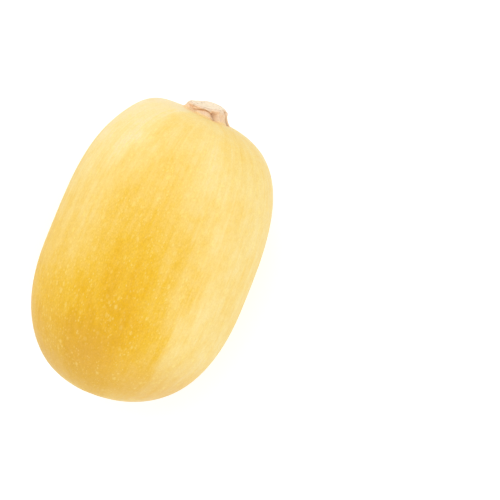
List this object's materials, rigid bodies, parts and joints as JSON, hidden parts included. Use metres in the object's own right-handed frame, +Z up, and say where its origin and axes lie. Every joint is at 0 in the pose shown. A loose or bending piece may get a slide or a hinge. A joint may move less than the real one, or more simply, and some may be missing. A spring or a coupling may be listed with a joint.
{
  "type": "spaghetti squash",
  "caption": "Whole ripe winter squash lying on its side: a blunt, slightly bent yellow barrel with faint lengthwise ribs and a short corky stem stub at one end.",
  "frame": {"origin": "on the surface that the squash rests on, under the middle of its bounding box", "axes": "+Y along the squash from the blossom end toward the stem end, +Z up from the surface that it lies on, +X to the right seen from above with the stem end away from the viewer"},
  "size_m": [0.135, 0.2042, 0.1364],
  "materials": {
    "rind": "hard waxy rind with a soft semi-gloss sheen, warm yellow with paler lengthwise clouding and fine cream flecks",
    "corky_stem": "dry, matt, corky tan with brown creases and a paler greenish-cream cut face"
  },
  "bodies": {
    "root": {"fruit": "rind", "stem": "corky_stem"}
  },
  "joints": []
}
